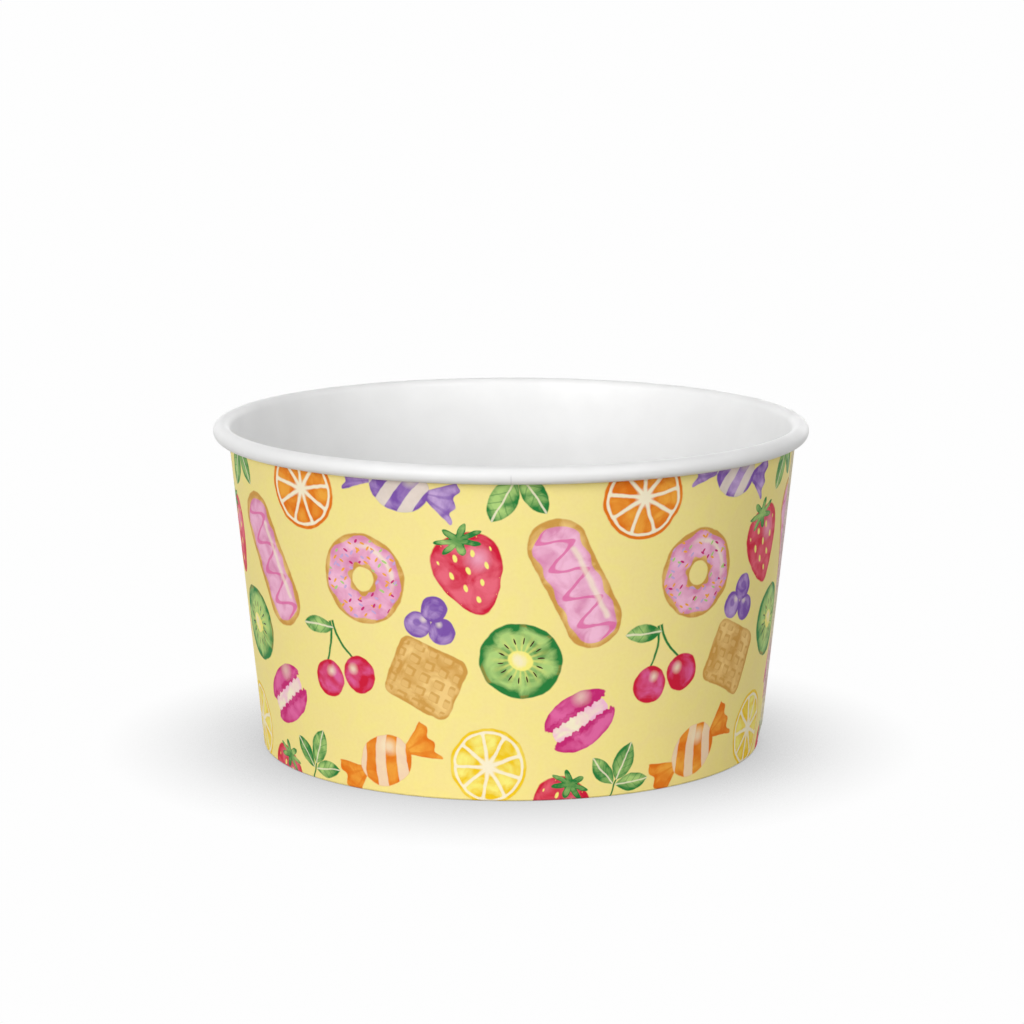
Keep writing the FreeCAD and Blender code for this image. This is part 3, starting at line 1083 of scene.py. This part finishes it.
class DESSERTCUP_OT_studio(bpy.types.Operator):
    """Makes a pale floor and background, soft lights and the camera"""

    bl_idname = "dessert_cup.studio"
    bl_label = "Make studio"

    def execute(self, context):
        studio = context.scene.dessert_cup_studio
        context.scene.view_settings.view_transform = "Standard"
        self.make_floor(context.scene.dessert_cup_sizes.foot / 2 - FLOOR_TUCK)
        self.make_sky(context.scene, studio)
        self.make_lamps(studio)
        self.make_camera(context.scene, studio)
        return {"FINISHED"}

    def make_floor(self, hole_radius):
        """A floor that is open under the cup, so that the underside is lit."""
        mesh = floor_mesh(hole_radius)
        mesh.materials.append(floor_material(hole_radius))
        floor = bpy.data.objects.new("studio_floor", mesh)
        bpy.context.scene.collection.objects.link(floor)

    def make_sky(self, scene, studio):
        """Light from all round, dim at both sides and on the right, which the camera sees as white."""
        scene.world = bpy.data.worlds.new("studio_sky")
        graph = Graph(scene.world)
        towards = graph.add("TexCoord", output="Generated")
        across = towards.dot((1.0, 0.0, 0.0))
        up = towards.dot((0.0, 0.0, 1.0))
        level = up.fade(0.0, 1.0, studio.horizon, studio.zenith) + up.fade(*BELOW_FROM, 0.0, BELOW)
        level = level * across.fade(-1.0, 1.0, 1.0 + SKY_TILT, 1.0 - SKY_TILT)
        level = level * abs(across).fade(SKY_SIDES_FROM, 1.0, 1.0, SKY_SIDES)
        light = level + (BACKDROP - level) * seen_or_mirrored(graph)
        sky = graph.add("Background", inputs={"Color": WHITE, "Strength": light})
        graph.node("OutputWorld", inputs={"Surface": sky})

    def make_lamps(self, studio):
        """Soft distant lights on the cup alone, so that the floor keeps the sky's shadow all round it."""
        cup = bpy.data.collections.new("lit_by_lamps")
        for piece in bpy.context.scene.objects:
            if piece.name in ("sidewall_finish", "base_disc_finish"):
                cup.objects.link(piece)
        for name, (spread, azimuth, elevation) in LAMPS.items():
            data = bpy.data.lights.new(name, "SUN")
            data.energy = getattr(studio, name)
            data.angle = math.radians(spread)
            lamp = bpy.data.objects.new(name, data)
            side, up = math.radians(azimuth), math.radians(elevation)
            towards = Vector((math.sin(side) * math.cos(up), -math.cos(side) * math.cos(up), math.sin(up)))
            lamp.rotation_euler = towards.to_track_quat("Z", "Y").to_euler()
            lamp.light_linking.receiver_collection = cup
            bpy.context.scene.collection.objects.link(lamp)

    def make_camera(self, scene, studio):
        """The camera that sees the cup as the photograph does."""
        data = bpy.data.cameras.new("studio_camera")
        data.lens = studio.lens
        camera = bpy.data.objects.new("studio_camera", data)
        camera.location = (studio.camera_side, -studio.camera_back, studio.camera_up)
        camera.rotation_euler = (QUARTER_TURN - studio.camera_down, 0.0, 0.0)
        scene.collection.objects.link(camera)
        scene.camera = camera


class DESSERTCUP_PT_panel(bpy.types.Panel):
    """Lists the cup's pieces, sizes and colours"""

    bl_idname = "DESSERTCUP_PT_panel"
    bl_label = "Dessert cup"
    bl_space_type = "VIEW_3D"
    bl_region_type = "UI"
    bl_category = "Dessert cup"

    def draw(self, context):
        for operator in OPERATORS:
            self.layout.operator(operator.bl_idname)
        for name, group in GROUPS.items():
            box = self.layout.box()
            for key in group.__annotations__:
                box.prop(getattr(context.scene, name), key)


GROUPS = {"dessert_cup_sizes": CupSizes, "dessert_cup_inks": CupInks, "dessert_cup_studio": CupStudio}
OPERATORS = (DESSERTCUP_OT_sidewall, DESSERTCUP_OT_base, DESSERTCUP_OT_studio)
CLASSES = (*GROUPS.values(), *OPERATORS, DESSERTCUP_PT_panel)


def register():
    """Adds the cup's classes and their settings to Blender."""
    for cls in CLASSES:
        bpy.utils.register_class(cls)
    for name, group in GROUPS.items():
        setattr(bpy.types.Scene, name, PointerProperty(type=group))


def unregister():
    """Takes them out again."""
    for name in GROUPS:
        delattr(bpy.types.Scene, name)
    for cls in reversed(CLASSES):
        bpy.utils.unregister_class(cls)


def main():
    """Makes the cup and its studio."""
    register()
    bpy.ops.dessert_cup.sidewall()
    bpy.ops.dessert_cup.base()
    bpy.ops.dessert_cup.studio()


if __name__ == "__main__":
    main()
